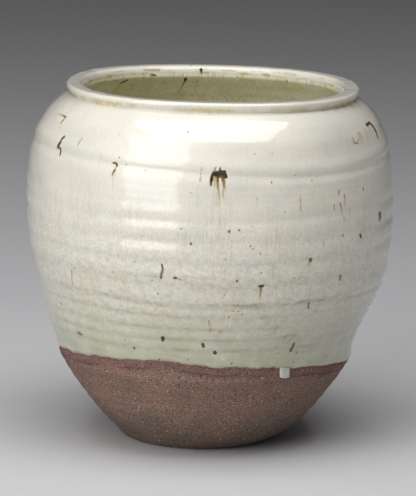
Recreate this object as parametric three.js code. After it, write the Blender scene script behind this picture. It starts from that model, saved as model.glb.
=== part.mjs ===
// A wide-shouldered stoneware jar with an open mouth, thrown on a wheel. The clay body is one piece. A pale
// glaze coats it outside, from a wavy line above the foot to over the rim, a second glaze lines it, and one
// run of thick glaze hangs below the line. Nothing on it moves.
// Millimetres, +Z up. The origin is on the floor under the middle of the belly, and -Y is the front.
import * as THREE from "three";
import { mergeVertices } from "three/addons/utils/BufferGeometryUtils.js";

// Outside of the clay, from the floor up. Each rise is measured from the level before it.
const FOOT_RADIUS = 49.6;
const BOWL_CORNER_RISE = 10.6;
const BOWL_CORNER_RADIUS = 72.7;
const HIP_RISE = 59;
const HIP_RADIUS = 102.3;
const WALL_LEAN_IN = 2.3;
const WALL_LEAN_RISE = 19.7;
const WALL_CORNER_RISE = 49;
const BELLY_RISE = 103.2;
const BELLY_RADIUS = 126.7;
const SHOULDER_CORNER_RISE = 63.9;
const SHOULDER_OVERHANG = 12.1;
const SHOULDER_FALL = 8.6;
const NECK_RISE = 80.2;

// Lip of the clay: flat on top, with a rounded edge that stands out over the neck, the crease under it
const MOUTH_RADIUS = 92.5;
const LIP_WIDTH = 10.1;
const LIP_RISE = 5.6;
const LIP_EDGE_ROUND = 1.2;
const LIP_INNER_ROUND = 3;
const NECK_NOTCH = 3.2;

// Inside of the clay
const FLOOR_THICKNESS = 12;
const FLOOR_CORNER = 6;
const FLOOR_CORNER_RISE = 3;
const WALL_AT_FOOT = 12;
const WALL_AT_NECK = 7;

// Glazes
const COAT_THICKNESS = 1;
const LINER_THICKNESS = 0.9;
const EDGE_THICKNESS = 0.7;
const EDGE_ROUND = 2.2;
const CLEARANCE = 0.3;

// Glaze line round the jar: degrees to the right of the front, and millimetres above the hip
const GLAZE_LINE = [
  [-120, 3.2],
  [-66, 7.2],
  [-39, 10.7],
  [-14, 13.5],
  [8, 10.3],
  [24, 9.5],
  [37, 7.1],
  [54, 5.2],
  [74, 1.6],
  [120, 0.6],
  [180, 1],
];

// Throwing rings in the wall. The first crest's rise is from the hip. Each ring then has the spacing from its
// crest to the next, how far the crest stands out of the smooth wall, and how deep the groove above it is.
const FIRST_RING_RISE = 23;
const RINGS = [
  [10, 0.3, 0.6],
  [8, 0.2, 0.3],
  [9, 0.2, 0.3],
  [9, 0.2, 0.3],
  [18, 0.3, 0.5],
  [13, 0.4, 0.3],
  [17, 0.3, 0.8],
  [13, 0.3, 0.2],
  [15, 0.6, 0.5],
  [18, 0.3, 1.3],
];
const LAST_RING_CREST = 0.4;

// Run of thick glaze below the line, to the right of the front
const RUN_AZIMUTH = 32.3;
const RUN_WIDTH = 8;
const RUN_LENGTH = 6.6;
const RUN_THICKNESS = 2;
const RUN_EDGE_THICKNESS = 0.8;

// Slips of the hand: how far the wall sways to the right at each height above the floor, and how far the
// mouth is squared in plan, from a depth under the neck
const SWAY = [
  [0, -4.9],
  [8, -1.2],
  [56, -0.7],
  [78, -1.2],
  [118, 2.2],
  [150, 1.1],
  [178, 0.3],
  [200, -0.2],
  [220, 0.3],
  [240, 0.9],
];
const MOUTH_SQUARENESS = 1.9;
const MOUTH_SQUARE_DEPTH = 26;

// Fineness of the facets
const AZIMUTH_STEPS = 48;
const BOWL_STEPS = 7;
const LOW_WALL_STEPS = 5;
const TOP_STEPS = 5;
const EDGE_ROWS = 3;
const INSIDE_STEPS = [5, 4, 5];
const LIP_STEP_ANGLE = 35;
const RUN_STEPS = 6;
const LEVEL_SEARCHES = 40;

// Where the coat and the liner meet on the lip, as angles round its section from the outside over the top
const LIP_OUTER_ANGLE = -35;
const LIP_TOP_ANGLE = 90;
const COAT_END_ANGLE = 160;
const LINER_END_ANGLE = 166;
const LIP_INNER_ANGLE = 195;

// Levels and radii that follow from the sizes above
const hipHeight = HIP_RISE;
const bellyHeight = hipHeight + BELLY_RISE;
const neckHeight = bellyHeight + NECK_RISE;
const firstCrestHeight = hipHeight + FIRST_RING_RISE;
const lipRadius = MOUTH_RADIUS + LIP_WIDTH;
const lipHeight = neckHeight + LIP_RISE;
const neckRadius = lipRadius - NECK_NOTCH;
const coatReach = CLEARANCE + COAT_THICKNESS;
const linerReach = CLEARANCE + LINER_THICKNESS;

const { degToRad, radToDeg, lerp, smoothstep } = THREE.MathUtils;
const flat = (radius, height) => new THREE.Vector2(radius, height);

// The clay's smooth outside in three stretches, in the half plane of radius and height
const bowlCurve = new THREE.QuadraticBezierCurve(
  flat(FOOT_RADIUS, 0),
  flat(BOWL_CORNER_RADIUS, BOWL_CORNER_RISE),
  flat(HIP_RADIUS, hipHeight),
);
const wallCurve = new THREE.CubicBezierCurve(
  flat(HIP_RADIUS, hipHeight),
  flat(HIP_RADIUS - WALL_LEAN_IN, hipHeight + WALL_LEAN_RISE),
  flat(BELLY_RADIUS, hipHeight + WALL_CORNER_RISE),
  flat(BELLY_RADIUS, bellyHeight),
);
const shoulderCurve = new THREE.CubicBezierCurve(
  flat(BELLY_RADIUS, bellyHeight),
  flat(BELLY_RADIUS, bellyHeight + SHOULDER_CORNER_RISE),
  flat(neckRadius + SHOULDER_OVERHANG, neckHeight - SHOULDER_FALL),
  flat(neckRadius, neckHeight),
);

// A spot on a curve, with the direction that faces out of the clay there
function spotOn(curve, share) {
  const along = curve.getTangent(share);
  return { at: curve.getPoint(share), outward: flat(along.y, -along.x) };
}

// The share of a curve below a height, found by halving
function shareBelow(curve, height) {
  let low = 0;
  let high = 1;
  for (let search = 0; search < LEVEL_SEARCHES; search += 1) {
    const middle = (low + high) / 2;
    if (curve.getPoint(middle).y < height) {
      low = middle;
    } else {
      high = middle;
    }
  }
  return low;
}

// The spot of the smooth outside at a height
function spotAtHeight(height) {
  const upper = height < bellyHeight ? wallCurve : shoulderCurve;
  const curve = height < hipHeight ? bowlCurve : upper;
  return spotOn(curve, shareBelow(curve, height));
}

const raised = ({ at, outward }, distance) => at.clone().addScaledVector(outward, distance);
const steps = (count) => Array.from({ length: count }, (_, step) => step / count);

// A spot where two stretches meet at an angle, which faces midway between them
function creaseSpot(at, ...directions) {
  return { at, outward: directions.reduce((sum, direction) => sum.add(direction), flat(0, 0)).normalize() };
}

const hipSpot = creaseSpot(
  flat(HIP_RADIUS, hipHeight),
  spotOn(bowlCurve, 1).outward,
  spotOn(wallCurve, 0).outward,
);
const neckSpot = creaseSpot(
  flat(neckRadius, neckHeight),
  spotOn(shoulderCurve, 1).outward,
  flat(Math.cos(degToRad(LIP_OUTER_ANGLE)), Math.sin(degToRad(LIP_OUTER_ANGLE))),
);

// The wall's throwing rings, as spots on each crest and in each groove
function ringSpots() {
  const spots = [];
  let crest = firstCrestHeight;
  for (const [spacing, crestRelief, grooveRelief] of RINGS) {
    spots.push([crest, crestRelief], [crest + spacing / 2, -grooveRelief]);
    crest += spacing;
  }
  spots.push([crest, LAST_RING_CREST]);
  return spots.map(([height, relief]) => {
    const spot = spotAtHeight(height);
    return { at: raised(spot, relief), outward: spot.outward };
  });
}

// Spots of the outside from the first crest up to the neck, which the clay and its coat share
function upperSpots() {
  const lastCrest = RINGS.reduce((height, [spacing]) => height + spacing, firstCrestHeight);
  const start = shareBelow(shoulderCurve, lastCrest);
  const top = steps(TOP_STEPS).slice(1).map((share) => spotOn(shoulderCurve, lerp(start, 1, share)));
  return [...ringSpots(), ...top, neckSpot];
}

// Spots of the wall from a height up to the first crest, with the crest left out
function lowSpots(height, count) {
  return steps(count).map((share) => spotAtHeight(lerp(height, firstCrestHeight, share)));
}

// An arc of the half plane round a centre, between two angles from the outside
function arc(centre, reach, fromAngle, toAngle) {
  const count = Math.ceil((toAngle - fromAngle) / LIP_STEP_ANGLE);
  return [...steps(count), 1].map((share) => {
    const angle = degToRad(lerp(fromAngle, toAngle, share));
    return flat(centre.x + reach * Math.cos(angle), centre.y + reach * Math.sin(angle));
  });
}

// The lip between two angles: round its outer edge, across the flat top and round its inner edge
function lipOutline(fromAngle, toAngle, distance) {
  const edge = flat(lipRadius - LIP_EDGE_ROUND, lipHeight - LIP_EDGE_ROUND);
  const inner = flat(MOUTH_RADIUS + LIP_INNER_ROUND, lipHeight - LIP_INNER_ROUND);
  const rounds = [
    [edge, LIP_EDGE_ROUND + distance, fromAngle, Math.min(LIP_TOP_ANGLE, toAngle)],
    [inner, LIP_INNER_ROUND + distance, Math.max(LIP_TOP_ANGLE, fromAngle), toAngle],
  ];
  return rounds.filter(([, , from, to]) => from < to).flatMap((round) => arc(...round));
}

// The inside of the clay, from the floor's corner up to the neck, raised off the clay by a distance. The wall
// is thickest at the foot and thins to the neck.
function insideOutline(distance) {
  const [bowl, wall, shoulder] = INSIDE_STEPS.map(steps);
  const spots = [
    ...bowl.map((share) => spotOn(bowlCurve, share)),
    hipSpot,
    ...wall.slice(1).map((share) => spotOn(wallCurve, share)),
    ...shoulder.map((share) => spotOn(shoulderCurve, share)),
    neckSpot,
  ];
  const floorHeight = FLOOR_THICKNESS + distance;
  const wallAt = (height) => lerp(WALL_AT_FOOT, WALL_AT_NECK, height / neckHeight);
  const points = spots
    .map((spot) => raised(spot, -wallAt(spot.at.y) - distance))
    .filter((point) => point.y > floorHeight + FLOOR_CORNER_RISE);
  return [flat(0, floorHeight), flat(points[0].x - FLOOR_CORNER, floorHeight), ...points];
}

// Height of the glaze line at an azimuth, on a smooth curve through its points
function glazeLineHeight(azimuth) {
  const count = GLAZE_LINE.length;
  const knot = (index) => {
    const turns = Math.floor(index / count);
    const [degrees, rise] = GLAZE_LINE[index - turns * count];
    return { degrees: degrees + 360 * turns, rise };
  };
  const first = GLAZE_LINE[0][0];
  const degrees = first + THREE.MathUtils.euclideanModulo(azimuth - first, 360);
  let index = 0;
  while (knot(index + 1).degrees <= degrees) {
    index += 1;
  }
  const [before, start, end, after] = [-1, 0, 1, 2].map((step) => knot(index + step));
  const span = end.degrees - start.degrees;
  const startSlope = ((end.rise - before.rise) / (end.degrees - before.degrees)) * span;
  const endSlope = ((after.rise - start.rise) / (after.degrees - start.degrees)) * span;
  const share = (degrees - start.degrees) / span;
  const square = share * share;
  const cube = square * share;
  const rise =
    (2 * cube - 3 * square + 1) * start.rise +
    (cube - 2 * square + share) * startSlope +
    (3 * square - 2 * cube) * end.rise +
    (cube - square) * endSlope;
  return hipHeight + rise;
}

// How far the jar sways to the right at a height, eased from each height in its table to the next
function swayAt(height) {
  const next = SWAY.findIndex(([level]) => level > height);
  if (next < 1) {
    return SWAY.at(next)[1];
  }
  const [low, lowSway] = SWAY[next - 1];
  const [high, highSway] = SWAY[next];
  return lerp(lowSway, highSway, smoothstep(height, low, high));
}

// The half plane's radius and height turned to an azimuth, with the slips of the hand
function onJar(point, azimuth) {
  const angle = degToRad(azimuth);
  const squareShare = smoothstep(point.y, neckHeight - MOUTH_SQUARE_DEPTH, neckHeight);
  const radius = point.x - MOUTH_SQUARENESS * squareShare * Math.cos(4 * angle) * Math.sign(point.x);
  return [radius * Math.sin(angle) + swayAt(point.y), -radius * Math.cos(angle), point.y];
}

function geometryFrom(positions, triangles) {
  const loose = new THREE.BufferGeometry();
  loose.setAttribute("position", new THREE.Float32BufferAttribute(positions.flat(), 3));
  loose.setIndex(triangles.flat());
  const geometry = mergeVertices(loose);
  geometry.computeVertexNormals();
  return geometry;
}

// Turns an outline round the jar's axis. outlineAt gives it for each azimuth, with the same number of points
// every time, and it either starts and ends on the axis or closes on itself.
function turned(outlineAt) {
  const azimuths = steps(AZIMUTH_STEPS).map((share) => share * 360);
  const outlines = azimuths.map(outlineAt);
  const rows = outlines[0].length;
  const onAxis = (row) => outlines[0][row].x === 0;
  const columnAt = (azimuth, column) => outlines[column].map((point) => onJar(point, azimuth));
  const positions = azimuths.flatMap(columnAt);
  const triangles = [];
  for (let column = 0; column < AZIMUTH_STEPS; column += 1) {
    const next = (column + 1) % AZIMUTH_STEPS;
    for (let row = 0; row < rows; row += 1) {
      const up = (row + 1) % rows;
      const [a, b] = [column * rows + row, next * rows + row];
      const [c, d] = [next * rows + up, column * rows + up];
      if (!onAxis(row)) {
        triangles.push([a, b, c]);
      }
      if (!onAxis(up)) {
        triangles.push([a, c, d]);
      }
    }
  }
  return geometryFrom(positions, triangles);
}

function clayBody() {
  const bowl = steps(BOWL_STEPS).map((share) => spotOn(bowlCurve, share));
  const outside = [...bowl, ...lowSpots(hipHeight, LOW_WALL_STEPS), ...upperSpots()].map((spot) => spot.at);
  const lip = lipOutline(LIP_OUTER_ANGLE, LIP_INNER_ANGLE, 0);
  const inside = insideOutline(0).reverse();
  return turned(() => [flat(0, 0), ...outside, ...lip, ...inside]);
}

// The coat lies on the clay from the glaze line up, over the lip and down to the liner.
function outerGlaze() {
  const upperAt = (distance) => [
    ...upperSpots().map((spot) => raised(spot, distance)),
    ...lipOutline(LIP_OUTER_ANGLE, COAT_END_ANGLE, distance),
  ];
  const face = upperAt(coatReach);
  const back = upperAt(CLEARANCE).reverse();
  return turned((azimuth) => {
    const line = glazeLineHeight(azimuth);
    const edge = raised(spotAtHeight(line), CLEARANCE + EDGE_THICKNESS);
    const low = lowSpots(line + EDGE_ROUND, EDGE_ROWS).map((spot) => raised(spot, coatReach));
    const lowBack = lowSpots(line, EDGE_ROWS).map((spot) => raised(spot, CLEARANCE));
    return [edge, ...low, ...face, ...back, ...lowBack.reverse()];
  });
}

function innerGlaze() {
  const insideAt = (distance) => [
    ...insideOutline(distance),
    ...lipOutline(LINER_END_ANGLE, LIP_INNER_ANGLE, distance).reverse(),
  ];
  const back = insideAt(CLEARANCE);
  const face = insideAt(linerReach).reverse();
  return turned(() => [...back, ...face]);
}

// The run is a pad on the clay, thickest in the middle, that hangs just below the coat's edge.
function glazeRun() {
  const halfAngle = radToDeg(RUN_WIDTH / 2 / spotAtHeight(glazeLineHeight(RUN_AZIMUTH)).at.x);
  const side = RUN_STEPS + 1;
  const positions = [];
  for (const isFront of [false, true]) {
    for (let row = 0; row < side; row += 1) {
      for (let column = 0; column < side; column += 1) {
        const across = (2 * column) / RUN_STEPS - 1;
        const down = (2 * row) / RUN_STEPS - 1;
        const swell = (1 - across ** 4) * (1 - down ** 4);
        const thickness = isFront ? lerp(RUN_EDGE_THICKNESS, RUN_THICKNESS, swell) : 0;
        const azimuth = RUN_AZIMUTH + across * halfAngle;
        const height = glazeLineHeight(azimuth) - CLEARANCE - (RUN_LENGTH * row) / RUN_STEPS;
        positions.push(onJar(raised(spotAtHeight(height), CLEARANCE + thickness), azimuth));
      }
    }
  }
  const back = (row, column) => row * side + column;
  const front = (row, column) => side * side + back(row, column);
  const triangles = [];
  const quad = (a, b, c, d) => triangles.push([a, b, c], [a, c, d]);
  const last = RUN_STEPS;
  for (let row = 0; row < last; row += 1) {
    for (let column = 0; column < last; column += 1) {
      const [down, right] = [row + 1, column + 1];
      quad(front(row, column), front(down, column), front(down, right), front(row, right));
      quad(back(row, column), back(row, right), back(down, right), back(down, column));
    }
  }
  for (let step = 0; step < last; step += 1) {
    const next = step + 1;
    quad(back(step, 0), back(next, 0), front(next, 0), front(step, 0));
    quad(back(next, last), back(step, last), front(step, last), front(next, last));
    quad(back(0, next), back(0, step), front(0, step), front(0, next));
    quad(back(last, step), back(last, next), front(last, next), front(last, step));
  }
  return geometryFrom(positions, triangles);
}

function piece(name, geometry, color, roughness) {
  const mesh = new THREE.Mesh(geometry, new THREE.MeshStandardMaterial({ color, roughness, metalness: 0 }));
  mesh.name = name;
  return mesh;
}

const jar = new THREE.Group();
jar.add(
  piece("clay_body", clayBody(), 0x79665a, 0.9),
  piece("outer_glaze", outerGlaze(), 0xe4e2d6, 0.3),
  piece("inner_glaze", innerGlaze(), 0xb3b29c, 0.3),
  piece("glaze_run", glazeRun(), 0xeceade, 0.3),
);

export default jar;
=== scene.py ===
import math

import bpy
import numpy as np
from mathutils import Matrix

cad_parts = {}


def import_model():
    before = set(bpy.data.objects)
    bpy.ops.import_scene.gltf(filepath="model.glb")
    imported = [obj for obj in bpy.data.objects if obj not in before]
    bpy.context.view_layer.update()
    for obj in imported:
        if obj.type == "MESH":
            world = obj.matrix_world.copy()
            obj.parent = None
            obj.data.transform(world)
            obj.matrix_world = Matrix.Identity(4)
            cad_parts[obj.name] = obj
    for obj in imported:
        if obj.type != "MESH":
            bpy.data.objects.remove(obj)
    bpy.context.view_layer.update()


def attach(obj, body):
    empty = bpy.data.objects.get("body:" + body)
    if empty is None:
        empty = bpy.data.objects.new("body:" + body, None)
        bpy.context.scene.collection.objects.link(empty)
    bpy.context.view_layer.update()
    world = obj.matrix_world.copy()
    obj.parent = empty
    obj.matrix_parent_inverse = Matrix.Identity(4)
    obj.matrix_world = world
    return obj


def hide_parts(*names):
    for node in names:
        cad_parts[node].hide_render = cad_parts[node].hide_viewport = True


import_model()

MM = 0.001
TURN = 2 * math.pi

# The clay's outside in the half plane, as in the CAD model
FOOT_RADIUS = 49.6
BOWL_CORNER = (72.7, 10.6)
HIP = (102.3, 59)
LOW_WALL_CORNER = (100, 78.7)
HIGH_WALL_CORNER = (126.7, 108)
BELLY = (126.7, 162.2)
SHOULDER_CORNER = (126.7, 226.1)
NECK_CORNER = (111.5, 233.8)
NECK = (99.4, 242.4)

# The lip's section: an outer and an inner round, each with its centre, and a flat top between them
LIP_EDGE_ROUND = 1.2
LIP_EDGE_CENTRE = (101.4, 246.8)
LIP_INNER_ROUND = 3
LIP_INNER_CENTRE = (95.5, 245)
# Angles round that section, from its start outside over the top to its end inside
LIP_START = -30
LIP_TOP = 90
COAT_END = 161
LINER_END = 161.8
LIP_END = 195

FLOOR_THICKNESS = 12
WALL_AT_FOOT = 12
WALL_AT_NECK = 7
COAT_THICKNESS = 1
LINER_THICKNESS = 0.9
CLEARANCE = 0.3

# Slips of the hand: how far the wall sways to the right at each height, and how far the mouth is squared in
# plan, which comes in over a depth under the neck
SWAY = [
    (0, -4.9),
    (8, -1.2),
    (56, -0.7),
    (78, -1.2),
    (118, 2.2),
    (150, 1.1),
    (178, 0.3),
    (200, -0.2),
    (220, 0.3),
    (240, 0.9),
]
MOUTH_SQUARENESS = 1.9
MOUTH_SQUARE_DEPTH = 26

# Height of the glaze line at azimuths round the jar
GLAZE_LINE = [
    (-120, 62.2),
    (-66, 66.2),
    (-39, 69.7),
    (-14, 72.5),
    (8, 69.3),
    (24, 68.5),
    (37, 66.1),
    (54, 64.2),
    (74, 60.6),
    (120, 59.6),
    (180, 60),
]
LINE_TREMBLE = 0.3

# Throwing rings at the front, from the bottom up: the height of a crest and how far it stands out, the same
# of the groove above it, and so on. Those of no relief keep the others apart.
RINGS = [
    (58, 0),
    (66, 0),
    (76.5, 0.25),
    (80, -0.25),
    (84, 0.25),
    (88, -0.45),
    (92, 0.2),
    (96, -0.25),
    (100, 0.2),
    (104.5, -0.25),
    (109, 0.2),
    (113, -0.5),
    (118, 0.35),
    (127, -0.45),
    (136, 0.35),
    (143, -0.35),
    (149, 0.3),
    (158, -0.7),
    (167, 0.3),
    (173, -0.35),
    (180, 0.15),
    (187, 0),
    (194, 0),
    (204, -0.75),
    (209.5, 0.4),
    (218, -0.2),
    (226, 0.15),
    (234, 0),
    (256, 0),
]
# How much higher the rings lie at the sides, how far the top ones tilt up to the left, and how far they all
# wander. Each comes in over a range of heights.
RING_SIDE_LIFT = 4
RING_LIFT_HEIGHTS = (70, 150)
RING_TILT = 4
RING_TILT_HEIGHTS = (184, 206)
RING_WANDER = 0.8
RING_WANDER_HEIGHTS = (40, 200)
# A crest and a hollow above it on the left only: height, reach up and down, and rise of each. They come in
# between the first two azimuths and end between the last two.
LEFT_RINGS = [(181, 3, 0.3), (190.5, 5, -0.3)]
LEFT_AZIMUTHS = (-115, -85, -48, -27)


def smoothstep(values, low, high):
    """0 up to low and 1 from high on, with an eased step between them."""
    share = np.clip((np.asarray(values, float) - low) / (high - low), 0, 1)
    return share * share * (3 - 2 * share)


def through(at, knots, values):
    """Values on a smooth curve through knots, with each knot's slope taken between its two neighbours."""
    knots = np.asarray(knots, float)
    values = np.asarray(values, float)
    slopes = np.empty_like(values)
    slopes[1:-1] = (values[2:] - values[:-2]) / (knots[2:] - knots[:-2])
    slopes[0] = (values[1] - values[0]) / (knots[1] - knots[0])
    slopes[-1] = (values[-1] - values[-2]) / (knots[-1] - knots[-2])
    index = np.clip(np.searchsorted(knots, at, side="right") - 1, 0, len(knots) - 2)
    span = knots[index + 1] - knots[index]
    share = (at - knots[index]) / span
    ease = smoothstep(share, 0, 1)
    lean_in = share * (1 - share) ** 2 * slopes[index]
    lean_out = share**2 * (1 - share) * slopes[index + 1]
    return values[index] * (1 - ease) + values[index + 1] * ease + span * (lean_in - lean_out)


def bezier(corners, count):
    """Points along a Bezier curve with these corners, ends included."""
    share = np.linspace(0, 1, count)[:, None]
    points = [np.array(corner, float) + 0 * share for corner in corners]
    while len(points) > 1:
        points = [a * (1 - share) + b * share for a, b in zip(points, points[1:])]
    return points[0]


def joined(*stretches):
    """One path from several, without the points where two of them meet twice."""
    return np.vstack([stretches[0], *[stretch[1:] for stretch in stretches[1:]]])


def outward(path):
    """Unit normals of a path in the half plane, to the right of its direction."""
    along = np.gradient(path, axis=0)
    along /= np.linalg.norm(along, axis=1)[:, None]
    return np.column_stack([along[:, 1], -along[:, 0]])


def distances(path):
    """Length along a path from its start to each of its points."""
    return np.concatenate([[0], np.cumsum(np.linalg.norm(np.diff(path, axis=0), axis=1))])


def between(at, knots, pairs):
    """Pairs of numbers interpolated at an array of any shape."""
    return np.stack([np.interp(at, knots, pairs[:, 0]), np.interp(at, knots, pairs[:, 1])], axis=-1)


def lip_arc(lift, start, end, count):
    """Points round the lip's section from one angle to another, raised off the clay by a lift."""
    angle = np.linspace(start, end, count)
    is_inner = (angle > LIP_TOP)[:, None]
    reach = np.where(is_inner, LIP_INNER_ROUND, LIP_EDGE_ROUND) + lift
    around = np.column_stack([np.cos(np.radians(angle)), np.sin(np.radians(angle))])
    return np.where(is_inner, LIP_INNER_CENTRE, LIP_EDGE_CENTRE) + reach * around


# The smooth outside from the foot to the neck, with this many points on each of its three curves
FINE = 400
OUTSIDE = joined(
    bezier([(FOOT_RADIUS, 0), BOWL_CORNER, HIP], FINE),
    bezier([HIP, LOW_WALL_CORNER, HIGH_WALL_CORNER, BELLY], FINE),
    bezier([BELLY, SHOULDER_CORNER, NECK_CORNER, NECK], FINE),
)
OUTSIDE_NORMAL = outward(OUTSIDE)
OUTSIDE_LENGTH = distances(OUTSIDE)


def waves(azimuth, height, seed, count, around, up, size):
    """Smooth lumps that close round the jar, as a sum of cosine waves. around is the range of waves per turn,
    and up the range of wavelengths up the wall."""
    random = np.random.default_rng(seed)
    total = 0
    for _ in range(count):
        turns = random.integers(around[0], around[1] + 1)
        climb = random.choice([-1, 1]) * TURN / random.uniform(*up)
        phase = random.uniform(0, TURN)
        total = total + np.cos(turns * np.radians(azimuth) + climb * np.asarray(height, float) + phase)
    return size * total / math.sqrt(count / 2)


def grain(shape, seed, around, along):
    """Random bumps on a grid of rows by columns, blurred over a number of columns and rows."""
    random = np.random.default_rng(seed)
    field = random.normal(size=shape)
    for _ in range(around):
        field = (np.roll(field, 1, axis=1) + field + np.roll(field, -1, axis=1)) / 3
    for _ in range(along):
        padded = np.pad(field, ((1, 1), (0, 0)), mode="edge")
        field = (padded[:-2] + padded[1:-1] + padded[2:]) / 3
    return field / field.std()


def glaze_line(azimuth):
    """Height of the glaze line, with a fine tremble."""
    knots = np.array([(turn + degrees, rise) for turn in (-360, 0, 360) for degrees, rise in GLAZE_LINE])
    tremble = waves(azimuth, 0, seed=11, count=10, around=(9, 40), up=(50, 60), size=LINE_TREMBLE)
    return through(azimuth, knots[:, 0], knots[:, 1]) + tremble


def ring_relief(azimuth, height):
    """How far the throwing rings stand out. In front they are nearly level, at the sides a little higher, and
    the top ones higher on the left. Behind the jar each one climbs into the next."""
    turn = np.asarray(azimuth, float) / 360
    climb = turn - np.sin(TURN * turn) / TURN
    side_lift = RING_SIDE_LIFT * np.sin(TURN * turn) ** 2 * smoothstep(height, *RING_LIFT_HEIGHTS)
    tilt = RING_TILT * np.sin(TURN * turn) * smoothstep(height, *RING_TILT_HEIGHTS)
    wander = waves(azimuth, height, seed=6, count=8, around=(1, 5), up=(60, 160), size=RING_WANDER)
    level = height - side_lift + tilt + wander * smoothstep(height, *RING_WANDER_HEIGHTS)
    knots = np.array(RINGS, float)
    crest = np.interp(level, knots[::2, 0], knots[::2, 1])
    groove = np.interp(level, knots[1::2, 0], knots[1::2, 1])
    wave = np.cos(TURN * (np.interp(level, knots[:, 0], np.arange(len(knots)) / 2) - climb))
    return wave * (crest - groove) / 2 + wave**2 * (crest + groove) / 2


def on_jar(radius, height, azimuth):
    """Metres in the row frame for a radius, height and azimuth, with the slips of the hand."""
    angle = np.radians(azimuth)
    mouth_share = smoothstep(height, NECK[1] - MOUTH_SQUARE_DEPTH, NECK[1])
    sway = 0
    for (low, low_sway), (high, high_sway) in zip(SWAY, SWAY[1:]):
        sway = sway + (high_sway - low_sway) * smoothstep(height, low, high)
    squared = radius - MOUTH_SQUARENESS * mouth_share * np.cos(4 * angle) * (radius > 0)
    x = squared * np.sin(angle) + SWAY[0][1] + sway
    return np.stack([x, -squared * np.cos(angle), height + 0 * x], axis=-1) * MM


def add_object(name, data):
    made = bpy.data.objects.new(name, data)
    bpy.context.scene.collection.objects.link(made)
    return made


def mesh_piece(name, points, quads, triangles=(), attributes=None):
    """A smooth-shaded object from arrays of points, quads and triangles. Each attribute has a number for each
    point, or for the first points only, and 0 for the rest."""
    mesh = bpy.data.meshes.new(name)
    corners = np.concatenate([quads.ravel(), np.ravel(triangles)]).astype(np.int32)
    sizes = np.concatenate([np.full(len(quads), 4), np.full(len(triangles), 3)]).astype(np.int32)
    mesh.vertices.add(len(points))
    mesh.vertices.foreach_set("co", np.asarray(points, np.float32).ravel())
    mesh.loops.add(len(corners))
    mesh.loops.foreach_set("vertex_index", corners)
    mesh.polygons.add(len(sizes))
    mesh.polygons.foreach_set("loop_start", np.concatenate([[0], np.cumsum(sizes)[:-1]]).astype(np.int32))
    mesh.polygons.foreach_set("use_smooth", np.ones(len(sizes), bool))
    for label, values in (attributes or {}).items():
        data = np.zeros(len(points), np.float32)
        data[: values.size] = values.ravel()
        mesh.attributes.new(label, "FLOAT", "POINT").data.foreach_set("value", data)
    mesh.update(calc_edges=True)
    mesh.validate()
    return add_object(name, mesh)


def turned_mesh(name, rows, poles=None, attributes=None):
    """A mesh piece from rows of points round the jar, in an array of rows by columns by 3. Without poles the
    last row joins the first. With poles, two points on the axis close the first and the last row."""
    count, columns = rows.shape[:2]
    points = rows.reshape(-1, 3)
    row_numbers = np.arange(count if poles is None else count - 1)
    low = row_numbers[:, None] * columns + np.arange(columns)
    high = ((row_numbers[:, None] + 1) % count) * columns + np.arange(columns)
    quads = np.stack([low, np.roll(low, -1, axis=1), np.roll(high, -1, axis=1), high], axis=-1).reshape(-1, 4)
    fans = ()
    if poles is not None:
        points = np.vstack([points, poles])
        first = np.arange(columns)
        last = (count - 1) * columns + first
        start = np.full(columns, len(points) - 2)
        end = np.full(columns, len(points) - 1)
        low_fan = np.column_stack([np.roll(first, -1), first, start])
        fans = np.vstack([low_fan, np.column_stack([last, np.roll(last, -1), end])])
    return mesh_piece(name, points, quads, fans, attributes)


def azimuths(columns):
    """Even azimuths from the back round to the back."""
    return np.arange(columns) * 360 / columns - 180


# The coat's columns are finer as far as this azimuth to the left and the right of the front
FRONT_HALF = 82
FRONT_COLUMNS = 520
SIDE_COLUMNS = 200


def front_azimuths():
    """Azimuths from the back round to the back, finer in the front where the marks are known one by one."""
    left = np.linspace(-180, -FRONT_HALF, SIDE_COLUMNS, endpoint=False)
    front = np.linspace(-FRONT_HALF, FRONT_HALF, FRONT_COLUMNS, endpoint=False)
    right = np.linspace(FRONT_HALF, 180, SIDE_COLUMNS, endpoint=False)
    return np.concatenate([left, front, right])


# Where the inside copies the outside, as shares of the outside's three curves
INSIDE_SHARES = [0, 0.2, 0.4, 0.6, 0.8, 1, 1.25, 1.5, 1.75, 2, 2.2, 2.4, 2.6, 2.8, 3]
NECK_OUTWARD = (0.984, 0.18)
# The corner between the floor and the wall, and the almost flat stretch just inside it
FLOOR_CORNER = 6
FLOOR_CORNER_RISE = 3
FLOOR_EDGE_WIDTH = 10
FLOOR_EDGE_RISE = 0.4
LIP_SPOTS = 4


def inside_path(lift, lip_end):
    """The inside from the floor over the neck to an angle on the lip, raised off the clay by a lift."""
    index = np.round(np.array(INSIDE_SHARES) * (FINE - 1)).astype(int)
    facing = OUTSIDE_NORMAL[index]
    facing[-1] = NECK_OUTWARD
    thickness = WALL_AT_FOOT + (WALL_AT_NECK - WALL_AT_FOOT) * OUTSIDE[index, 1] / NECK[1] + lift
    wall = OUTSIDE[index] - facing * thickness[:, None]
    floor_height = FLOOR_THICKNESS + lift
    wall = wall[wall[:, 1] > floor_height + FLOOR_CORNER_RISE]
    corner = wall[0, 0] - FLOOR_CORNER
    floor_edge = [(corner - FLOOR_EDGE_WIDTH, floor_height), (corner, floor_height + FLOOR_EDGE_RISE)]
    lip = lip_arc(lift, LIP_END, lip_end, LIP_SPOTS if lip_end < LIP_END else 1)
    spots = np.vstack([floor_edge, wall, lip])
    length = distances(spots)
    at = np.linspace(0, length[-1], FINE)
    return np.column_stack([through(at, length, spots[:, 0]), through(at, length, spots[:, 1])])


# The crease under the lip: where it starts below the neck, and how far its corner moves out and up for each
# millimetre of lift
CREASE_BELOW_NECK = 1.2
CREASE_OUT = 1.2
CREASE_UP = 0.1
CREASE_POINTS = 16
LIP_POINTS = 60
END_STEP = 0.0005


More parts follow.
